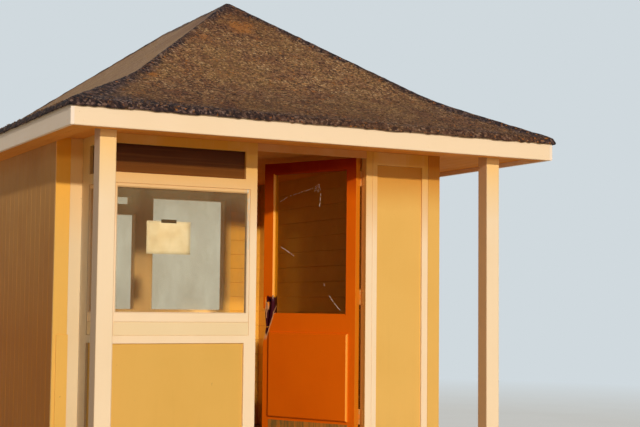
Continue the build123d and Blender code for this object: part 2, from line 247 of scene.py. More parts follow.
floor_radius = 60.0
fade_start = 5.0
fade_end = 11.0
near_fade = 0.5
rim_points = 96
studio = material("studio_floor")
ground_x, ground_y = studio.axes()[:2]
reach = studio.far(ground_x, ground_y)
patches = studio.noise(1.6, 3.0)
floor_tone = studio.ramp(patches, (0.3, colour(222, 204, 174)), (0.7, colour(228, 212, 184)))
floor_shader = studio.node("BsdfPrincipled", {"Base Color": floor_tone, "Roughness": 0.9})
fade = near_fade + (1 - near_fade) * studio.level(reach, fade_start, fade_end)
floor_glow = studio.node("Emission", {"Color": backdrop, "Strength": 1.0})
floor_mix = studio.node("MixShader", {
    0: fade * seen_share(studio), 1: floor_shader["BSDF"], 2: floor_glow["Emission"],
})
rim_turns = [2 * pi * i / rim_points for i in range(rim_points)]
rim = [(floor_radius * cos(turn), floor_radius * sin(turn), 0.0) for turn in rim_turns]
studio_mesh = bpy.data.meshes.new("studio_floor")
studio_mesh.from_pydata(rim, [], [tuple(range(rim_points))])
studio_mesh.materials.append(studio.surface(floor_mix["Shader"]))
studio_floor = bpy.data.objects.new("studio_floor", studio_mesh)
scene.collection.objects.link(studio_floor)

# Floor: softwood boards from side to side on bearers inside a rim, bare and worn grey-brown.
# The threshold is a thicker board across the doorway. The boards are nailed down with narrow gaps.
floor_board_width = 0.120
floor_board_thick = 0.021
floor_board_gap = 0.0016
rim_thick = 0.038
bearer_width = 0.063
bearer_spacing = 0.42
board_easing = 0.002
grain_relief = 0.002
fibre_share = 4


def box_profile(left, right, near, far):
    return [(left, near), (right, near), (right, far), (left, far)]


def eased_profile(left, right, near, far, easing):
    """A rectangle whose two corners at near are planed off."""
    return [
        (left, far), (right, far), (right, near + easing), (right - easing, near),
        (left + easing, near), (left, near + easing),
    ]


def spaced(start, end, width):
    """Even stops along a length, about this width apart."""
    count = max(1, round((end - start) / width))
    return [start + (end - start) * i / count for i in range(count + 1)]


def shared_out(start, end, width):
    """Splits a length into equal boards of about this width."""
    edges = spaced(start, end, width)
    return list(zip(edges, edges[1:]))


def join_rings(faces, first, second):
    """Fills the band between two rings of points."""
    pairs = list(zip(first, second))
    for (near, far), (next_near, next_far) in zip(pairs, pairs[1:] + pairs[:1]):
        faces.append((near, next_near, next_far, far))


def add_solid(solids, near_points, far_points):
    """Adds a closed solid: two rings of points, each capped, and the band between them."""
    vertices, faces = solids
    near = range(len(vertices), len(vertices) + len(near_points))
    far = range(near.stop, near.stop + len(far_points))
    vertices += near_points + far_points
    join_rings(faces, near, far)
    faces += [tuple(near), tuple(far)]


def add_prism(solids, profile, start, end, place):
    """Adds a prism: a profile in two directions, carried along a third by place."""
    add_solid(solids, *(
        [place(across, depth, along) for across, depth in profile] for along in (start, end)
    ))


def standing(across, depth, along):
    """Places a profile that is drawn on the ground and carried upwards."""
    return across, depth, along


def make_piece(name, solids, finish, stands_for=(), body="hut", smooth=False):
    """A piece of the hut from closed solids, riding on its body."""
    mesh = bpy.data.meshes.new(name)
    mesh.from_pydata(solids[0], [], solids[1])
    sorter = bmesh.new()
    sorter.from_mesh(mesh)
    bmesh.ops.recalc_face_normals(sorter, faces=sorter.faces)
    sorter.to_mesh(mesh)
    sorter.free()
    mesh.materials.append(finish)
    if smooth:
        mesh.shade_smooth()
    made = bpy.data.objects.new(name, mesh)
    scene.collection.objects.link(made)
    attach(made, body)
    if stands_for:
        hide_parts(*stands_for)
    return made


def dress(finish, *nodes, easing=0.0015):
    """Gives pieces from the frame their finish, and rounds the sharp edges where they are eased."""
    for node in nodes:
        piece = frame["nodes"][node]
        if easing:
            piece.modifiers.new("weld", "WELD").merge_threshold = 0.00001
            edges = piece.modifiers.new("eased", "BEVEL")
            edges.width = easing
            edges.segments = 2
            edges.limit_method = "ANGLE"
            edges.angle_limit = radians(35)
            edges.harden_normals = True
        if not piece.material_slots:
            piece.data.materials.append(finish)
        for holder in piece.material_slots:
            holder.link = "OBJECT"
            holder.material = finish


def bare_timber(name, fresh, aged, grain_run):
    """Unpainted softwood: grain along the board, darker latewood, grey where it has weathered."""
    wood = material(name)
    grain = wood.noise(grain_run, 5.0, 0.6)
    fibre = wood.noise(tuple(fibre_share * a for a in grain_run))
    patches = wood.noise(3.0, 3.0)
    tone = wood.mix(wood.level(grain, 0.35, 0.65), fresh, aged)
    tone = wood.mix(wood.level(patches, 0.4, 0.7) * 0.5, tone, aged)
    return wood.finished(tone, 0.7 + fibre * 0.2, grain + fibre * 0.4, grain_relief, 0.6)


floor_timber = bare_timber("floor_timber", colour(124, 92, 60), colour(88, 68, 48), (4, 40, 40))
board_solids = ([], [])
bearer_solids = ([], [])
for name in ("floor", "bay_floor"):
    low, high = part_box(name)
    bearer_top = high.z - floor_board_thick
    for near, far in shared_out(low.y, high.y, floor_board_width):
        near += floor_board_gap / 2
        far -= floor_board_gap / 2
        profile = eased_profile(near, far, 0, floor_board_thick, board_easing)
        add_prism(board_solids, profile, low.x, high.x, lambda across, depth, along: (
            along, across, high.z - depth,
        ))
    for near, far in ((low.y, low.y + rim_thick), (high.y - rim_thick, high.y)):
        profile = box_profile(low.x, high.x, near, far)
        add_prism(bearer_solids, profile, low.z, bearer_top, standing)
    middles = spaced(low.x + rim_thick / 2, high.x - rim_thick / 2, bearer_spacing)
    for middle in middles:
        half = (rim_thick if middle in (middles[0], middles[-1]) else bearer_width) / 2
        profile = box_profile(middle - half, middle + half, low.y + rim_thick, high.y - rim_thick)
        add_prism(bearer_solids, profile, low.z, bearer_top, standing)
make_piece("floor_boards", board_solids, floor_timber, ["floor", "bay_floor"])
make_piece("floor_bearers", bearer_solids, floor_timber)
dress(floor_timber, "threshold", easing=0.003)

# Posts: planed softwood, primed and brushed in a warm cream, whose warmth is partly painted light: the
# golden tint of a low sun.
# Brush marks run along each timber, grime gathers low down, and small chips show the wood. Near the
# eaves each paint turns to another tone: painted shade and light.
# The faces that look to the left, which the lamps only graze, are painted browner: painted shade.
eaves_level = 2.10
splash_levels = (0.45, 0.02)
paint_relief = 0.0012
brush_length = 5
brush_hairs = 120
drip_run = (26, 26, 1.4)
cloud_scale = 2.6
grit_scale = 95.0
chip_scale = 34.0
chip_edge = 0.015
chipped_wood = colour(128, 92, 58)


def painted(
    name, coat, worn, eaves_shading, along,
    roughness=0.42, specular=0.3, chips=0.74, grime=0.2, shading_from=1.50, touch=None,
):
    """Brushed paint on timber: marks along one axis, painted shade and light as a tone that changes
    from a given level up to the eaves, grime low down and a few chips. What is special to one piece is
    added by its own touch."""
    paint = material(name)
    z = paint.axes()[2]
    run = tuple(brush_length if axis == along else brush_hairs for axis in "XYZ")
    marks = paint.noise(run, 3.0, 0.6)
    clouds = paint.noise(cloud_scale, 4.0, 0.55)
    drips = paint.noise(drip_run, 3.0)
    grit = paint.noise(grit_scale, 3.0, 0.6)
    # Painted shade and light under the eaves: from a given level up, the tone turns to the one given
    # for the eaves.
    tone = paint.mix(paint.level(z + clouds * 0.12, shading_from, eaves_level), coat, eaves_shading)
    tone = paint.mix(paint.level(clouds, 0.45, 0.75) * 0.35, tone, worn)
    tone = paint.mix(paint.level(marks, 0.55, 0.85) * 0.15, tone, worn)
    low = paint.level(z, *splash_levels) * paint.level(drips, 0.35, 0.65)
    dirt = tuple(0.5 * c for c in worn[:3]) + (1.0,)
    tone = paint.mix(low * grime + paint.level(drips, 0.62, 0.85) * grime * 0.3, tone, dirt)
    chipped = paint.level(paint.noise(chip_scale, 4.0, 0.65), chips, chips + chip_edge)
    tone = paint.mix(chipped, tone, chipped_wood)
    rougher = marks * 0.12 + chipped * 0.3
    height = marks * 0.5 + grit * 0.25 - chipped * 1.2
    if touch:
        tone, rougher, height = touch(paint, tone, rougher, height)
    return paint.finished(tone, roughness + rougher, height, paint_relief, 0.7, specular)


cream = colour(248, 217, 174)
cream_worn = colour(240, 204, 154)
post_eaves_shade = colour(248, 200, 124)
post_left_shade = colour(202, 164, 122)


def shaded_left(paint, tone, rougher, height):
    """Painted shade: browner on the faces that look to the left."""
    looks_left = paint.level(paint.facing((-1, 0, 0)), 0.4, 0.9)
    return paint.mix(looks_left, tone, post_left_shade), rougher, height


post_cream = painted("post_cream", cream, cream_worn, post_eaves_shade, "Z", shading_from=1.75, touch=shaded_left)
dress(post_cream, "left_post", "right_post", "rear_left_post", "rear_post", easing=0.002)

# Walls: softwood matchboard with a V at each joint, upright outside and level inside,
# nailed to a frame that the boards hide. The paint is a deep yellow, darker and duller on the outside,
# partly as painted shade.
board_width = 0.105
lining_width = 0.118
board_thick = 0.018
lining_thick = 0.014
vee_width = 0.0028
vee_depth = 0.0032
joint_gap = 0.0006
board_unevenness = 0.0006
wobble = random.Random(7)


def matchboard(left, right, face, inward, thickness):
    """Profile of one board between two joints: its face at depth face, planed to a V at the edges."""
    left += joint_gap / 2
    right -= joint_gap / 2
    face += inward * wobble.uniform(0, board_unevenness)
    back = face + inward * thickness
    shoulder = face + inward * vee_depth
    return [
        (left, back), (right, back), (right, shoulder), (right - vee_width, face),
        (left + vee_width, face), (left, shoulder),
    ]


left_wall_low, left_wall_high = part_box("left_wall")
right_wall_low, right_wall_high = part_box("right_wall")
rear_wall_low, rear_wall_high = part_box("rear_wall")
rear_window_low, rear_window_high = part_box("rear_window_frame")
left_x = left_wall_low.x
right_x = right_wall_high.x
rear_y = rear_wall_high.y
wall_bottom = rear_wall_low.z
wall_top = rear_wall_high.z
wall_thick = left_wall_high.x - left_wall_low.x
lining_back = wall_thick - lining_thick
wall_stretches = {
    "left_wall": (
        left_wall_low.y, rear_y - board_thick,
        lambda across, depth, along: (left_x + depth, across, along),
    ),
    "right_wall": (
        right_wall_low.y, rear_y - board_thick,
        lambda across, depth, along: (right_x - depth, across, along),
    ),
    "rear_wall": (
        rear_wall_low.x, rear_wall_high.x,
        lambda across, depth, along: (across, rear_y - depth, along),
    ),
}
# Outside, the yellow is darker than on the corner boards, partly as painted shade, and lighter from
# 0.9 m up: painted light.
wall_finish = painted(
    "wall_boards", colour(180, 110, 32), colour(160, 92, 22), colour(202, 148, 82), "Z",
    roughness=0.6, specular=0.12, shading_from=0.90,
)
lining_finish = painted(
    "wall_lining", colour(240, 180, 84), colour(226, 160, 66), colour(236, 176, 84), "X",
    roughness=0.5, specular=0.2,
)
for name, (start, end, upright) in wall_stretches.items():
    stretches = [(start, end, wall_bottom, wall_top)]
    if name == "rear_wall":
        window = (rear_window_low.x, rear_window_high.x)
        stretches = [
            (start, window[0], wall_bottom, wall_top), (window[1], end, wall_bottom, wall_top),
            (*window, wall_bottom, rear_window_low.z), (*window, rear_window_high.z, wall_top),
        ]
    outside = ([], [])
    inside = ([], [])
    for left, right, low, high in stretches:
        add_prism(outside, box_profile(left, right, board_thick, lining_back), low, high, upright)
        for edges in shared_out(left, right, board_width):
            add_prism(outside, matchboard(*edges, 0, 1, board_thick), low, high, upright)
        for edges in shared_out(low, high, lining_width):
            profile = matchboard(*edges, wall_thick, -1, lining_thick)
            add_prism(inside, profile, left, right, lambda across, depth, along: (
                upright(along, depth, across)
            ))
    if name == "rear_wall":
        for edges in ((left_x, start), (end, right_x)):
            add_prism(outside, matchboard(*edges, 0, 1, board_thick), wall_bottom, wall_top, upright)
    make_piece(f"{name}_boards", outside, wall_finish, [name])
    room.objects.link(make_piece(f"{name}_lining", inside, lining_finish, [name]))

# Corner boards: planed boards nailed over the ends of the walls, in the yellow, lighter than the walls
# outside.
# A shorter board, nailed on as a repair, covers the foot of the corner on the left.
yellow = colour(230, 178, 88)
yellow_worn = colour(220, 166, 74)
# Near the eaves the yellow turns darker and browner on the right, and a brighter orange at the top of
# the left corner: painted shade and painted light.
yellow_shaded = colour(196, 120, 8)
yellow_upright = painted("yellow_upright", yellow, yellow_worn, yellow_shaded, "Z", shading_from=1.80)
yellow_corner = painted("yellow_corner", colour(232, 176, 78), yellow_worn, colour(250, 172, 40), "Z")
dress(yellow_upright, "right_corner_board")
dress(yellow_corner, "left_corner_board", "repair_board")

# Window frames of the bay: softwood stiles, head and transom, jointed and pegged, in cream.
# The front frame and the one on the side meet at the corner. The side frame's greyer cream is painted
# shade, for a face that the lamps only graze.
# Near the eaves the cream turns to a deeper yellow-brown: painted shade and light.
cream_eaves_shade = colour(222, 158, 44)
under_eaves = 1.56
cream_upright = painted("cream_upright", cream, cream_worn, cream_eaves_shade, "Z", shading_from=under_eaves)
cream_level = painted(
    "cream_level", colour(240, 210, 160), colour(232, 198, 144), cream_eaves_shade, "X",
    shading_from=under_eaves,
)
cream_shaded = painted(
    "cream_shaded", colour(222, 204, 176), colour(208, 186, 152), colour(230, 186, 100), "Z",
    shading_from=under_eaves,
)
dress(cream_upright, "front_bay_frame")
dress(cream_shaded, "side_bay_frame")

# Fanlights: fixed panes over the transoms, blanked from inside by a dark brown blind.
# Grime has settled in faint level lines. The pane is darker towards the top and paler at the foot:
# painted shade under the eaves.
slat_run = (1.2, 1.2, 70)
slat_relief = 0.001
fanlight = material("fanlight_pane")
fanlight_low, fanlight_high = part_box("front_fanlight")
eaves_shade_rise = fanlight.level(fanlight.axes()[2], fanlight_low.z, fanlight_high.z)
slats = fanlight.noise(slat_run, 2.0)
blotches = fanlight.noise(9.0, 4.0)
# Painted shade: the pane darkens towards its top.
tone = fanlight.mix(eaves_shade_rise + blotches * 0.3, colour(116, 66, 18), colour(78, 36, 4))
tone = fanlight.mix(fanlight.level(slats, 0.50, 0.66) * 0.30, tone, colour(130, 80, 28))
dark_pane = fanlight.finished(tone, 0.24 + blotches * 0.14, slats, slat_relief, 0.3, specular=0.1)
dress(dark_pane, "front_fanlight", "side_fanlight", easing=0)

# Sashes: slim casements set nearly flush in the frames, each with one pane in a beaded rebate.
# The bead on the right of the front sash has lost flakes of its paint down to the pale primer.
flake_reach = 0.040
flake_levels = (1.36, 1.46)
flake_grain = (90, 90, 22)
flake_edge = 0.006
primer = colour(214, 200, 172)
flake_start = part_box("front_sash")[1].x - flake_reach


def flaked(paint, tone, rougher, height):
    """Flakes of the paint lost along the right of the front sash."""
    x, y, z = paint.axes()
    flakes = paint.noise(flake_grain, 3.0, 0.6)
    lost = paint.level(x, flake_start, flake_start + flake_edge) * paint.level(flakes, 0.50, 0.53)
    lost = lost * paint.level(z, *flake_levels)
    return paint.mix(lost * 0.8, tone, primer), rougher, height - lost


sash_paint = painted(
    "sash_paint", cream, cream_worn, cream_eaves_shade, "X", shading_from=under_eaves, touch=flaked,
)
dress(sash_paint, "front_sash", "side_sash", easing=0.001)

# Panes: drawn sheet glass, puttied and beaded in, filmed with salt and dust that catch the light.
# The film on the windows of the bay is thicker near the top, where rain doesn't reach.
no_haze = 9.0
haze_below, haze_above = 0.10, 0.12
haze_dust, speck_dust = 0.30, 0.08
glass_bend = 1.45


def glazing(name, film, thin, thick, tint, streak_run, haze_from=no_haze):
    """Clear glass under a patchy film of dust, thicker above the level haze_from."""
    glass = material(name)
    smears = glass.noise(streak_run, 4.0, 0.6)
    specks = glass.noise(60.0, 3.0)
    dust = thin + (thick - thin) * glass.level(smears, 0.32, 0.68)
    dust = dust + glass.level(specks, 0.62, 0.8) * speck_dust
    hazed = glass.level(glass.axes()[2], haze_from - haze_below, haze_from + haze_above)
    dust = dust + hazed * haze_dust * smears
    outer_side = 1 - glass.node("NewGeometry")["Backfacing"]
    gloss = glass.node("Fresnel", {"IOR": glass_bend})["Fac"] * outer_side
    share = glass.smaller(glass.larger(dust, gloss), 1.0)
    dusty = glass.node("BsdfPrincipled", {
        "Base Color": glass.mix(specks, film, tuple(0.8 * c for c in film[:3]) + (1.0,)),
        "Roughness": 0.12, "Specular IOR Level": 0.6,
    })
    clear = glass.node("BsdfTransparent", {"Color": tint})
    return glass.surface(glass.node("MixShader", {
        0: share, 1: clear["BSDF"], 2: dusty["BSDF"],
    })["Shader"])


window_glass = glazing(
    "window_glass", colour(166, 146, 98), 0.05, 0.16, (0.98, 0.95, 0.88, 1.0), (5, 5, 2), 1.72,
)
dress(window_glass, "front_window_glass", "side_window_glass", easing=0)
rear_glass = glazing(
    "rear_glass", colour(204, 182, 144), 0.04, 0.16, (0.99, 0.94, 0.85, 1.0), (4, 4, 2),
)
dress(rear_glass, "rear_window_glass", easing=0)

# Notice: a bare cream card, taped to the inside of the front pane. It is cut by hand,
# has bowed a little in the damp, and its tape has gone dark.
inner_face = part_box("front_window_glass")[1].y
notice_low = (-1.045, 1.410)
notice_high = (-0.759, 1.611)
notice_thick = 0.0005
notice_bow = 0.004
notice_steps = 8
notice_gap = 0.0006
card_relief = 0.0004


def grid_rim(columns, rows):
    """The points round the edge of a grid, whose points are counted up one column after another."""
    stride = rows + 1
    return (
        [i * stride for i in range(columns)] + [columns * stride + j for j in range(rows)]
        + [i * stride + rows for i in range(columns, 0, -1)] + list(range(rows, 0, -1))
    )


card_vertices, card_faces = [], []
for side in (0, notice_thick):
    for i in range(notice_steps + 1):
        for j in range(notice_steps + 1):
            across = i / notice_steps
            up = j / notice_steps
            bowed = notice_bow * (1 - up) * (4 * across * (1 - across)) ** 2
            card_vertices.append((
                notice_low[0] + across * (notice_high[0] - notice_low[0]),
                inner_face + notice_gap + side + bowed,
                notice_low[1] + up * (notice_high[1] - notice_low[1]),
            ))
stride = notice_steps + 1
for side in (0, stride * stride):
    for i in range(notice_steps):
        for j in range(notice_steps):
            corner = side + i * stride + j
            card_faces.append((corner, corner + stride, corner + stride + 1, corner + 1))
edge_loop = grid_rim(notice_steps, notice_steps)
join_rings(card_faces, edge_loop, [i + stride * stride for i in edge_loop])
card = material("notice_card")
fibres = card.noise(220.0, 3.0)
stains = card.noise(9.0, 3.0)
card_tone = card.mix(card.level(stains, 0.4, 0.8), colour(222, 211, 184), colour(204, 182, 144))
card_finish = card.finished(card_tone, 0.8, fibres, card_relief, 0.5, specular=0.15)
room.objects.link(
    make_piece("notice_card", (card_vertices, card_faces), card_finish, smooth=True)
)
tape_width = 0.100
tape_height = 0.022
tape_solids = ([], [])
tape_left = (notice_low[0] + notice_high[0] - tape_width) / 2
tape_near = inner_face + notice_gap / 2
profile = box_profile(tape_left, tape_left + tape_width, tape_near, tape_near + notice_thick / 2)
tape_levels = (notice_high[1] - tape_height / 2, notice_high[1] + tape_height / 2)
add_prism(tape_solids, profile, *tape_levels, standing)
tape_finish = bare_timber("notice_tape", colour(96, 66, 38), colour(74, 50, 28), (90, 90, 20))
make_piece("notice_tape", tape_solids, tape_finish)

# Sill boards and lower panels: a cream board under each window, and a plain panel below it,
# set in a groove in the frame and painted yellow.
dress(cream_level, "front_sill_board", "side_sill_board", easing=0.001)
yellow_lower = painted("yellow_lower", colour(222, 170, 78), colour(212, 160, 66), yellow, "Z")
dress(yellow_lower, "front_lower_panel", "side_lower_panel")

# Joinery round the doorway: the boards of the short return, the hinge jamb and the door head,
# planed softwood in cream. The face of the jamb's rebate is a browner orange, partly the door's paint
# and partly painted shade.
# The return boards, the jamb and the door head turn a deeper tone towards the eaves: painted shade and
# light.
cream_return = painted(
    "cream_return", colour(230, 201, 154), colour(222, 188, 134), colour(240, 184, 100), "Z",
)
dress(cream_return, "return_board", "return_post")
rebate_shade = colour(216, 156, 74)


def shaded_rebate(paint, tone, rougher, height):
    """The browner orange on the face of the rebate, which looks into the doorway: partly the door's
    paint, partly painted shade.
    """
    in_rebate = paint.level(paint.facing((-1, 0, 0)), 0.5, 0.8)
    return paint.mix(in_rebate, tone, rebate_shade), rougher, height


jamb_paint = painted(
    "jamb_paint", cream, cream_worn, cream_eaves_shade, "Z",
    specular=0.2, shading_from=under_eaves, touch=shaded_rebate,
)
dress(jamb_paint, "hinge_jamb")
cream_head = painted("cream_head", cream, cream_worn, colour(212, 140, 62), "X")
dress(cream_head, "door_head", easing=0.001)

# Right panel: one tall plywood panel in a cream frame, in the lighter yellow.
# The frame stands between the door and the corner, and its stiles run down to the floor.
dress(cream_upright, "right_frame")
dress(yellow_upright, "right_panel")

# Rear window: two lights and a low fanlight in one frame, built in with the boards of the wall.
# Its paint is browner than the front's.
rear_frame_paint = painted(
    "rear_frame_paint", colour(232, 184, 116), colour(214, 160, 92), colour(226, 176, 108), "Z",
)
dress(rear_frame_paint, "rear_window_frame", easing=0.001)
room.objects.link(frame["nodes"]["rear_window_frame"])

# Door: a half-glazed softwood leaf with a planted panel, in orange gloss. The edges and beads that
# face the hinge side carry a painted highlight in a yellower orange. The lock has been forced, and
# torn wood shows where it was.
hinge = frame["joints"][0]
pin_x, pin_y = hinge["pos_m"][0], hinge["pos_m"][1]
swing = radians(65)
leaf_outer = -0.050
leaf_free_edge = 0.7865
leaf_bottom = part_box("door_leaf")[0].z
to_free_edge = Vector((-cos(swing), sin(swing), 0))
into_room = Vector((sin(swing), cos(swing), 0))
torn_foot = (0.034, 0.790)
torn_lean = 0.385
torn_left = 0.016
torn_step = (0.93, 0.99)
torn_low = 0.785
torn_top = 1.054
torn_width = 0.112
torn_wander = 0.016
torn_soft = (0.012, 0.008, 0.004)
bare_levels = ((0.745, 0.765), (1.030, 1.010))
bare_width = (0.011, 0.007)
bare_inset = (0.006, 0.010)
bead_insets = (0.70, 0.76)
torn_grain = (70, 70, 9)


def on_leaf(inset, rise, depth=0.0):
    """A point on the leaf: in from its free edge, up from its bottom and in from its outer face."""
    point = Vector((pin_x, pin_y, leaf_bottom + rise))
    return tuple(point + to_free_edge * (leaf_free_edge - inset) + into_room * (leaf_outer + depth))


def leaf_axes(paint):
    """The inset and the rise on the leaf, for the point that a shader is at."""
    x, y, z = paint.axes()
    along = (x - pin_x) * to_free_edge.x + (y - pin_y) * to_free_edge.y
    return leaf_free_edge - along, z - leaf_bottom


orange = colour(238, 104, 4)
orange_worn = colour(222, 88, 3)
orange_eaves_shade = colour(148, 26, 3)
orange_bead_highlight = colour(255, 166, 46)
orange_edge_highlight = colour(220, 122, 18)
pocket_shade_tone = colour(66, 8, 20)
raw_wood = (colour(238, 170, 108), colour(206, 124, 66))


def torn_lock(paint, tone, rougher, height):
    """Painted highlight in a yellower orange on edges and beads, bare wood round the lock, and its
    pocket painted dark as painted shade.
    """
    inset, rise = leaf_axes(paint)
    # Painted highlight: the faces that look towards the hinge turn a yellower orange.
    lit_edge = paint.level(paint.facing(tuple(-to_free_edge)), 0.35, 0.65)
    edge_highlight = paint.mix(paint.level(inset, *bead_insets), orange_bead_highlight, orange_edge_highlight)
    tone = paint.mix(lit_edge, tone, edge_highlight)
    fibres = paint.noise(torn_grain, 4.0, 0.6)
    wander = (fibres - 0.5) * torn_wander
    past_right = inset - (torn_foot[0] + (rise - torn_foot[1]) * torn_lean)
    left_edge = torn_left + paint.level(rise, *torn_step) * torn_left
    past_edge = paint.larger(past_right, left_edge - inset) + wander
    low_soft, top_soft, side_soft = torn_soft
    # Painted shade: the pocket and its rim are painted a dark purple-brown.
    pocket = paint.level(past_edge, side_soft / 2, -side_soft / 2)
    pocket = pocket * paint.level(rise + wander, torn_low, torn_low + low_soft)
    pocket = pocket * paint.level(rise + wander * 3, torn_top, torn_top - top_soft)
    pocket = pocket * paint.level(inset, torn_width, torn_width - side_soft)
    torn = paint.level(past_edge, *bare_width) * paint.level(rise + wander, *bare_levels[0])
    torn = torn * paint.level(rise + wander * 3, *bare_levels[1]) * paint.level(inset, *bare_inset)
    tone = paint.mix(torn, tone, paint.mix(fibres, *raw_wood))
    tone = paint.mix(pocket, tone, pocket_shade_tone)
    return tone, rougher + torn * 0.4, height + torn * fibres * 2


# Painted shade: above 1.86 m the orange turns to a deep red, under the eaves.
door_paint = painted(
    "door_paint", orange, orange_worn, orange_eaves_shade, "Z",
    roughness=0.34, specular=0.15, chips=0.76, grime=0.1, shading_from=1.86, touch=torn_lock,
)
dress(door_paint, "door_leaf", "door_panel")

splinters = [
    ((0.004, 0.664), (0.018, 0.668), (0.022, 0.792)),
    ((0.074, 1.060), (0.088, 1.058), (0.082, 1.032)),
    ((0.084, 0.925), (0.087, 0.940), (0.113, 0.985)),
    ((0.080, 0.905), (0.086, 0.915), (0.104, 0.938)),
    ((0.022, 1.012), (0.033, 1.000), (0.030, 0.940)),
    ((0.018, 0.950), (0.027, 0.956), (0.026, 0.900)),
    ((0.056, 0.842), (0.066, 0.850), (0.044, 0.800)),
    ((0.072, 0.880), (0.080, 0.886), (0.060, 0.846)),
]
splinter_depths = (0.001, 0.009)
splinter_solids = ([], [])
for corners in splinters:
    add_solid(splinter_solids, *(
        [on_leaf(*corner, depth) for corner in corners] for depth in splinter_depths
    ))
torn_wood = bare_timber("torn_wood", colour(224, 172, 120), colour(176, 116, 78), (60, 60, 6))
make_piece("door_splinters", splinter_solids, torn_wood, body="door")

# Door glass: one tall pane of drawn sheet. A stone has starred it near the top,
# and thin cracks with chipped edges run from there and from its lower corner.
door_glass = glazing(
    "door_glass", colour(120, 84, 34), 0.03, 0.10, (0.91, 0.86, 0.64, 1.0), (5, 5, 3),
)
dress(door_glass, "door_glass", easing=0)
crack_widths = (0.0018, 0.0042)
crack_step = 0.009
crack_jitter = 0.0022
crack_broken = 0.2
crack_proud = 0.0003
pane_depth = 0.017
star = Vector((0.448, 1.777))
star_radius = 0.020
star_reach = (0.6, 1.4)
star_bend = 0.7
arm_start = 0.3
arm_step = 40
cracks = [
    [(0.123, 1.703), (0.190, 1.735), (0.264, 1.753), (0.410, 1.787)],
    [(0.460, 1.790), (0.468, 1.812), (0.452, 1.806)],
    [(0.478, 1.747), (0.474, 1.703), (0.467, 1.657)],
    [(0.137, 1.391), (0.199, 1.362), (0.252, 1.327)],
    [(0.512, 1.138), (0.516, 1.122)],
    [(0.555, 1.057), (0.597, 1.008), (0.647, 0.961)],
]
splitting = random.Random(5)
for turn in (radians(angle) for angle in range(0, 360, arm_step)):
    reach = splitting.uniform(*star_reach) * star_radius
    ray = Vector((cos(turn), sin(turn))) * reach
    bent_ray = Vector((cos(turn + star_bend), sin(turn + star_bend))) * reach
    cracks.append([star + ray * arm_start, star + ray, star + bent_ray])
crack_solids = ([], [])
for crack in cracks:
    walked = [Vector(crack[0])]
    for stop in crack[1:]:
        leg = Vector(stop) - walked[-1]
        steps = max(1, round(leg.length / crack_step))
        first = walked[-1].copy()
        for i in range(1, steps + 1):
            astray = Vector((splitting.uniform(-1, 1), splitting.uniform(-1, 1))) * crack_jitter
            walked.append(first + leg * i / steps + astray)
    for start, end in zip(walked, walked[1:]):
        if splitting.random() < crack_broken:
            continue
        run = end - start
        side = Vector((-run.y, run.x)).normalized() * splitting.uniform(*crack_widths) / 2
        corners = [start + side, start - side, end - side, end + side]
        add_prism(crack_solids, corners, pane_depth - crack_proud, pane_depth, on_leaf)
crack_finish = glazing(
    "glass_cracks", colour(255, 244, 222), 0.95, 0.95, (0.9, 0.9, 0.9, 1.0), (90, 90, 90),
)
make_piece("glass_cracks", crack_solids, crack_finish, body="door")

# Kick plate: thin sheet metal screwed over the foot of the door, worn to bright metal in
# upright streaks. Its olive brown is a painted reflection of the ground in the metal.
scrape_run = (60, 60, 3)
scrape_relief = 0.0008
kick = material("kick_metal")
scrapes = kick.noise(scrape_run, 4.0, 0.6)
stains = kick.noise(14.0, 3.0)
tone = kick.mix(kick.level(scrapes, 0.42, 0.60), colour(142, 100, 40), colour(204, 122, 40))
tone = kick.mix(kick.level(stains, 0.50, 0.70) * 0.6, tone, colour(112, 88, 44))
bright = kick.level(scrapes, 0.60, 0.72) * 0.6
kick_metal = kick.finished(tone, 0.34 + scrapes * 0.2, scrapes, scrape_relief, 0.5, 0.5, bright)
dress(kick_metal, "kick_plate", easing=0)

# Hinges: three steel butt hinges let into the jamb and the leaf, with knuckles on one pin each.
# They were painted over, each half in the tone of what it is screwed to: the leaf's in its edge's
# painted highlight, the jamb's in its rebate's browner tone, partly painted shade.
hinge_coats = {"door_hinges": colour(222, 124, 22), "jamb_hinges": colour(206, 140, 60)}
hinge_worn = colour(140, 84, 40)
for name, coat in hinge_coats.items():
    dress(painted(name, coat, hinge_worn, coat, "Z", roughness=0.4, chips=0.66), name, easing=0)

# Ceiling: matchboard from front to rear over the room and the verandahs, in cream painted a warm
# orange-brown: painted light and shade, the cream as it looks in light bounced up from the ground. It
# is nailed up under the ties of the roof.
ceiling_bounce_light = painted(
    "ceiling_bounce_light", colour(238, 160, 74), colour(218, 136, 52), colour(236, 158, 72), "Y",
    roughness=0.7, specular=0.06,
)


def board_over(node, width):
    """Boards from front to rear, face down, in place of a slab from the frame."""
    low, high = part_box(node)
    solids = ([], [])
    for edges in shared_out(low.x, high.x, width):
        profile = matchboard(*edges, 0, 1, high.z - low.z)
        add_prism(solids, profile, low.y, high.y, lambda across, depth, along: (
            across, along, low.z + depth,
        ))
    make_piece(f"{node}_boards", solids, ceiling_bounce_light, [node])


board_over("ceiling", board_width)

# Soffits: the left one is two planed boards side by side, the front and rear ones a board each.
# They are nailed to the bottom of the roof frame, just inside the fascias.
soffit_board_width = 0.075
board_over("left_soffit", soffit_board_width)
dress(ceiling_bounce_light, "front_soffit", "rear_soffit")

# Fascias: one deep planed board along each side of the roof, butted at the corners.
# They are nailed to the ends of the rafters, and the heads show through the paint.
fascia_cream = colour(250, 218, 176)
fascia_worn = colour(244, 208, 160)
cream_front = painted("cream_front", fascia_cream, fascia_worn, fascia_cream, "X", grime=0.1)
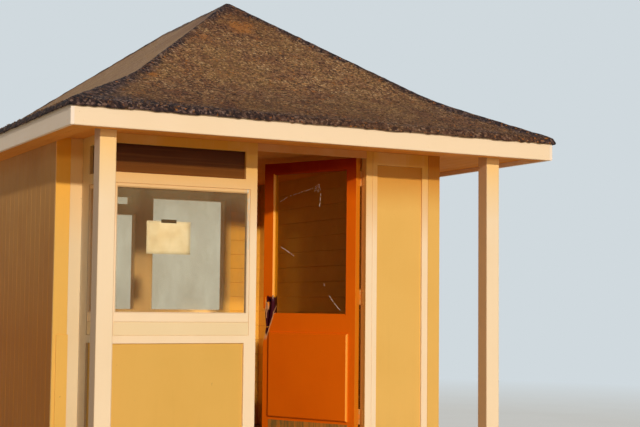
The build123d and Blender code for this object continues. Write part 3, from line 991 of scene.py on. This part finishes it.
# The side fascias are a paler, cooler cream: painted light, the sky on faces that look to the sides.
fascia_sky_light = colour(253, 228, 200)
cream_side = painted("cream_side", fascia_sky_light, fascia_worn, fascia_sky_light, "Y", grime=0.1)
nail_radius = 0.0045
nail_proud = 0.0012
nail_sunk = 0.0005
nail_top = 0.7
nail_corners = 8
nail_spacing = 0.46
nail_inset = 0.055
nail_rows = (0.030, 0.088)
upwards = Vector((0, 0, 1))


def add_nail(solids, centre, outward):
    """Adds a flat domed nail head, standing a little proud."""
    sideways = Vector((-outward.y, outward.x, 0))
    turns = [2 * pi * i / nail_corners for i in range(nail_corners)]
    rings = []
    for radius, proud in ((nail_radius, -nail_sunk), (nail_radius * nail_top, nail_proud)):
        middle = centre + outward * proud
        rings.append([
            middle + sideways * (radius * cos(turn)) + upwards * (radius * sin(turn)) for turn in turns
        ])
    add_solid(solids, *rings)


nail_solids = ([], [])
for name, outward in (
    ("front_fascia", Vector((0, -1, 0))), ("rear_fascia", Vector((0, 1, 0))),
    ("left_fascia", Vector((-1, 0, 0))), ("right_fascia", Vector((1, 0, 0))),
):
    along = 0 if outward.x == 0 else 1
    low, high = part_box(name)
    face = Vector(tuple(high[axis] if outward[axis] > 0 else low[axis] for axis in range(3)))
    dress(cream_front if along == 0 else cream_side, name, easing=0.002)
    for place_along in spaced(low[along] + nail_inset, high[along] - nail_inset, nail_spacing):
        for nail_rise in nail_rows:
            centre = face.copy()
            centre[along] = place_along
            centre.z = low.z + nail_rise
            add_nail(nail_solids, centre, outward)
make_piece("fascia_nails", nail_solids, cream_front)

# Roof boarding: rough sawn boards over the rafters, which show only as a thin edge at the eaves.
# They carry the covering.
roof_boarding = bare_timber("roof_boarding", colour(112, 78, 48), colour(76, 54, 38), (6, 40, 40))
dress(roof_boarding, "roof_deck", easing=0)

# Roof covering: felt dressed with stone chippings in bitumen, from a short ridge down four slopes
# that flatten towards the eaves. It is thicker and rougher along the hips and the eaves.
covering_low, covering_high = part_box("roof_covering")
deck_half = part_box("roof_deck")[1].x
roof_half = covering_high.x
roof_end = covering_high.y
ridge_half = roof_end - roof_half
ridge_top = covering_high.z
drip_bottom = covering_low.z
drip_depth = 0.046
eaves_top = drip_bottom + drip_depth
main_slope = radians(35.7)
eaves_slope = radians(25.4)
bellcast_run = 0.590
bend_radius = 1.500
ridge_radius = 0.040
covering_thick = 0.020
bend_reach = bend_radius * tan((main_slope - eaves_slope) / 2)
bend_outer = roof_half - bellcast_run + bend_reach * cos(eaves_slope)
bend_inner = roof_half - bellcast_run - bend_reach * cos(main_slope)
bend_centre = bend_outer + bend_radius * sin(eaves_slope)
bend_base = eaves_top + (roof_half - bend_outer) * tan(eaves_slope)
bend_level = bend_base + bend_radius * cos(eaves_slope)
ridge_run = ridge_radius * sin(main_slope)
lip_radius = 0.026
hip_width = 0.065
eaves_width = 0.085
edge_wander = 0.020
apex = Vector((0.0, -ridge_half))
apex_reach = 0.11
edge_pitch = 0.16
stone_pitch = 0.020
lump_pitch = 0.055
hollow_pitch = 0.45
field_sunk = 0.008
stone_relief, lump_relief, hollow_relief = 0.004, 0.003, 0.005
crust_stones, crust_lumps = 0.005, 0.009
crust_gain = 1.6
hip_crust = 0.45
left_relief = 0.5


def runs(x, y):
    """Level distances from the ridge, square to the sides and square to the ends."""
    return abs(x), max(abs(y) - ridge_half, 0.0)


def roof_height(run):
    """Height of the covering at a level distance from the ridge, square to the nearest eaves."""
    if run >= bend_outer:
        return eaves_top + (roof_half - run) * tan(eaves_slope)
    if run >= bend_inner:
        return bend_level - sqrt(bend_radius ** 2 - (bend_centre - run) ** 2)
    if run >= ridge_run:
        return roof_height(bend_inner) + (bend_inner - run) * tan(main_slope)
    return ridge_top - ridge_radius + sqrt(ridge_radius ** 2 - run ** 2)


def uneven(x, y, pitch, seed):
    """Smooth random relief from 0 to 1, with lumps of about this pitch."""
    return min(1.0, max(0.0, 0.5 + noise.noise(Vector((x / pitch, y / pitch, seed)))))


def lip(run):
    """How far the edge of the covering is rounded down at the eaves."""
    past = max(0.0, run - (roof_half - lip_radius))
    return lip_radius - sqrt(max(0.0, lip_radius ** 2 - past ** 2))


def sunk(x, y):
    """How far the surface lies below the tops of the highest stones."""
    side_run, end_run = runs(x, y)
    wave = edge_wander * (uneven(x, y, edge_pitch, 11.0) - 0.5)
    on_hip = 1 - (abs(side_run - end_run) + wave) / hip_width
    on_eaves = 1 - (roof_half - max(side_run, end_run) + wave) / eaves_width
    rugged = min(1.0, max(0.0, on_hip, on_eaves) * crust_gain)
    stones = uneven(x, y, stone_pitch, 3.0)
    lumps = uneven(x, y, lump_pitch, 9.0)
    rough_share = left_relief if -x > end_run else 1.0
    field = field_sunk + rough_share * (stone_relief * stones + lump_relief * lumps)
    field += hollow_relief * uneven(x, y, hollow_pitch, 5.0)
    crust_share = hip_crust if on_hip > on_eaves else 1.0
    crust = (crust_lumps * lumps + crust_stones * stones) * crust_share
    mound = max(0.0, 1 - (Vector((x, y)) - apex).length / apex_reach)
    return (field * (1 - rugged) + crust * rugged) * (1 - mound)


def surface_height(x, y):
    """Height of the finished surface, stones and all."""
    run = max(runs(x, y))
    return roof_height(run) - lip(run) - sunk(x, y)


grid_cell = 0.014
slope_cells = ceil(roof_half / grid_cell)
cell = roof_half / slope_cells
ridge_cells = round(2 * ridge_half / cell)
columns = 2 * slope_cells
rows = 2 * slope_cells + ridge_cells
across_lines = [-roof_half + i * cell for i in range(columns + 1)]
end_lines = [-roof_end + j * cell for j in range(slope_cells)]
ridge_lines = [-ridge_half + 2 * ridge_half * j / ridge_cells for j in range(ridge_cells + 1)]
along_lines = end_lines + ridge_lines + [-y for y in reversed(end_lines)]
roof_vertices = [(x, y, surface_height(x, y)) for x in across_lines for y in along_lines]
stride = rows + 1
roof_faces = []
for i in range(columns):
    for j in range(rows):
        a = i * stride + j
        b = a + stride
        c = b + 1
        d = a + 1
        if min(i, columns - 1 - i) != min(j, rows - 1 - j):
            roof_faces.append((a, b, c, d))
        elif (i < slope_cells) == (j < slope_cells):
            roof_faces += [(a, b, c), (a, c, d)]
        else:
            roof_faces += [(a, b, d), (b, c, d)]
lower_edge = 0.002
edge_ragged = 0.020
rag_pitches = (0.04, 0.15)
edge_in, drip_in = 0.001, 0.004
inner_step = 0.014
inner_run = 0.020


def ragged(x, y):
    """Height of the drip's lower edge, where the bitumen has run and broken."""
    broken = uneven(x, y, rag_pitches[0], 1.0) * uneven(x, y, rag_pitches[1], 2.0)
    return drip_bottom + lower_edge + edge_ragged * broken


def under(run):
    """Height of the covering's underside, which lies on the boarding."""
    return lambda x, y: roof_height(run) - covering_thick


underside = [
    (roof_half - edge_in, lambda x, y: 0.4 * (eaves_top - lip_radius) + 0.6 * drip_bottom),
    (roof_half - drip_in, ragged),
    (deck_half, lambda x, y: drip_bottom + inner_step),
    (deck_half, under(deck_half)),
    (bend_outer, under(bend_outer)),
    (roof_half - bellcast_run, under(roof_half - bellcast_run)),
    (bend_inner, under(bend_inner)),
    (inner_run, under(inner_run)),
]
ring = grid_rim(columns, rows)
upper_row = ring
for run, height in underside:
    first = len(roof_vertices)
    for index in ring:
        x, y, z = roof_vertices[index]
        roof_vertices.append((x * run / roof_half, y * (run + ridge_half) / roof_end, height(x, y)))
    lower_row = range(first, len(roof_vertices))
    join_rings(roof_faces, upper_row, lower_row)
    upper_row = lower_row
roof_faces.append(tuple(upper_row))

chipping_scale = 74.0
chipping_relief = 0.005
lower_slopes = (1.05, 1.55)
hip_tar = (0.095, 0.020)
hip_feet = (0.90, 1.60)
foot_spread = 0.09
eaves_tar = (0.120, 0.030)
left_end = (-0.60, -1.35)
left_spread = 0.07
apex_tar = (0.17, 0.05)
apex_shade = (0.60, 0.20)
felt = material("roof_felt")
x, y, z = felt.axes()
side_run = felt.size(x)
end_run = felt.larger(felt.size(y) - ridge_half, 0.0)
run = felt.larger(side_run, end_run)
broad = felt.noise(2.4, 4.0, 0.6)
patchy = felt.noise(7.0, 4.0, 0.65)
coarse = felt.noise(24.0, 3.0, 0.6)
fine = felt.noise(80.0, 4.0, 0.7)
chips = felt.node("TexVoronoi", {"Vector": felt.place(), "Scale": chipping_scale})
chip_tone, chip_hue, chip_luck = felt.axes(chips["Color"])
chip_shapes = felt.level(chips["Distance"], 0.62, 0.30)
stone = felt.ramp(
    chip_tone, (0.00, colour(64, 42, 28)), (0.22, colour(110, 76, 48)), (0.50, colour(167, 119, 73)),
    (0.85, colour(198, 149, 93)), (1.00, colour(228, 188, 136)),
)
stone = felt.mix(felt.level(patchy, 0.46, 0.58) * 0.8, stone, colour(208, 188, 194), "MULTIPLY")
stone = felt.mix(felt.level(broad, 0.44, 0.62) * 0.35, stone, colour(170, 128, 70))
stone = felt.mix(felt.level(chip_hue, 0.60, 0.80) * 0.45, stone, colour(142, 92, 70))
stone = felt.mix(felt.level(fine, 0.54, 0.62) * 0.70, stone, colour(60, 40, 28))
stone = felt.mix((1 - chip_shapes) * 0.40, stone, colour(62, 42, 34))
low_down = felt.level(run + (patchy - 0.5) * 0.9, *lower_slopes)
stone = felt.mix(low_down * 0.8, stone, colour(194, 180, 172), "MULTIPLY")
hip_wander = (coarse - 0.5) * 0.06
on_left = felt.level(side_run - end_run + hip_wander, 0.00, 0.04) * felt.level(x, 0.0, -0.01)
weathering = felt.level(felt.noise(9.0, 4.0), 0.35, 0.65)
weathered = felt.mix(weathering, colour(190, 145, 96), colour(170, 127, 84))
stone = felt.mix(on_left * 0.68, stone, weathered)
warp = (felt.noise(6.0, 3.0, 0.6) - 0.5) * 0.24
hip_foot = felt.level(run, *hip_feet) * foot_spread
on_hip = felt.level(felt.size(side_run - end_run) + warp - hip_foot, *hip_tar)
left_corner = felt.level(x, *left_end) * left_spread
on_eaves = felt.level(roof_half - run + warp * 0.5 - left_corner, *eaves_tar)
on_eaves = on_eaves * (0.5 + felt.level(x, 0.2, -0.9) * 0.5)
from_apex = felt.far(x, y + ridge_half)
on_apex = felt.level(from_apex + warp * 0.5, *apex_tar)
near_apex = felt.level(from_apex + warp, *apex_shade) * 0.7
stone = felt.mix(near_apex, stone, colour(196, 172, 160), "MULTIPLY")
crust = felt.larger(felt.larger(on_hip, on_eaves), on_apex)
crust_tone = felt.ramp(
    chip_tone, (0.00, colour(22, 16, 17)), (0.45, colour(48, 34, 32)), (0.80, colour(84, 60, 52)),
    (1.00, colour(132, 104, 88)),
)
stone = felt.mix(crust * felt.level(coarse, 0.20, 0.44), stone, crust_tone)
lichen_patches = [
    (-0.06, -0.94, 0.110), (0.05, -0.88, 0.050), (-0.40, -1.13, 0.060), (-0.98, -1.68, 0.045),
    (0.02, -1.06, 0.040), (-1.20, -1.90, 0.030), (0.14, -1.72, 0.030), (1.10, -1.98, 0.040),
]
lichen = 0.0
for patch_x, patch_y, patch_size in lichen_patches:
    distance = felt.far(x - patch_x, y - patch_y) + (patchy - 0.5) * 0.20
    lichen = felt.larger(lichen, felt.level(distance, patch_size, patch_size * 0.3))
specks = felt.level(felt.noise(30.0, 3.0, 0.6), 0.64, 0.70)
specks = felt.larger(specks, felt.level(chip_luck, 0.965, 0.985) * felt.level(patchy, 0.42, 0.52))
lichen = felt.larger(lichen * 0.85, specks * (1 - on_left))
lichen_tone = felt.mix(coarse, colour(196, 130, 44), colour(176, 88, 42))
stone = felt.mix(lichen * felt.level(fine, 0.62, 0.44) * 0.85, stone, lichen_tone)
chip_height = chip_shapes * 0.5 + fine * 0.8 + coarse * 0.5
roof_finish = felt.finished(stone, 0.85 + fine * 0.1, chip_height, chipping_relief, 0.8)
make_piece(
    "roof_chippings", (roof_vertices, roof_faces), roof_finish, ["roof_covering"],
    smooth=True,
)

# Loose stones: larger chippings that stand proud of the felt, each a different size and turn.
# They lie thickest along the eaves, where rain has washed them. None lie on the hips or the ridge,
# and the smoother left slope has them only along its eaves.
stone_count = 5200
stone_sizes = (0.004, 0.009)
stone_shape = (0.7, 1.2)
stone_flatness = 0.7
stone_tilt = 0.6
stone_rise = 0.25
stone_inset = 0.014
washed_width = 0.07
bare_hip = 0.045
bare_ridge = 0.06
washed_share, open_share = 0.9, 0.35
scatter = random.Random(29)
octahedron = [(1, 0, 0), (0, 1, 0), (-1, 0, 0), (0, -1, 0), (0, 0, 1), (0, 0, -1)]
octahedron_faces = [
    face for i in range(4) for face in ((i, (i + 1) % 4, 4), ((i + 1) % 4, i, 5))
]
loose_vertices, loose_faces = [], []
placed = 0
while placed < stone_count:
    x = scatter.uniform(-roof_half + stone_inset, roof_half - stone_inset)
    y = scatter.uniform(-roof_end + stone_inset, roof_end - stone_inset)
    side_run, end_run = runs(x, y)
    run = max(side_run, end_run)
    washed = roof_half - run < washed_width
    if abs(side_run - end_run) < bare_hip or run < bare_ridge or (-x > end_run and not washed):
        continue
    if scatter.random() > (washed_share if washed else open_share):
        continue
    placed += 1
    size = scatter.uniform(*stone_sizes)
    turned = Matrix.Rotation(scatter.uniform(0, 2 * pi), 3, "Z")
    tilted = turned @ Matrix.Rotation(scatter.uniform(-stone_tilt, stone_tilt), 3, "X")
    middle = Vector((x, y, surface_height(x, y) + size * stone_rise))
    first = len(loose_vertices)
    for corner in octahedron:
        stretched = Vector(corner) * size * scatter.uniform(*stone_shape)
        stretched.z *= stone_flatness
        loose_vertices.append(tuple(middle + tilted @ stretched))
    loose_faces += [tuple(first + i for i in face) for face in octahedron_faces]
loose = material("loose_stones")
picked = loose.noise(36.0, 1.0)
grain = loose.noise(400.0, 2.0)
loose_tone = loose.ramp(
    picked, (0.30, colour(54, 39, 33)), (0.42, colour(98, 70, 52)), (0.52, colour(118, 86, 60)),
    (0.62, colour(138, 108, 82)), (0.72, colour(100, 72, 62)),
)
loose_tone = loose.mix(grain * 0.3, loose_tone, colour(70, 52, 40))
loose_relief = 0.001
loose_finish = loose.finished(loose_tone, 0.9, grain, loose_relief, 0.6)
make_piece("loose_stones", (loose_vertices, loose_faces), loose_finish)
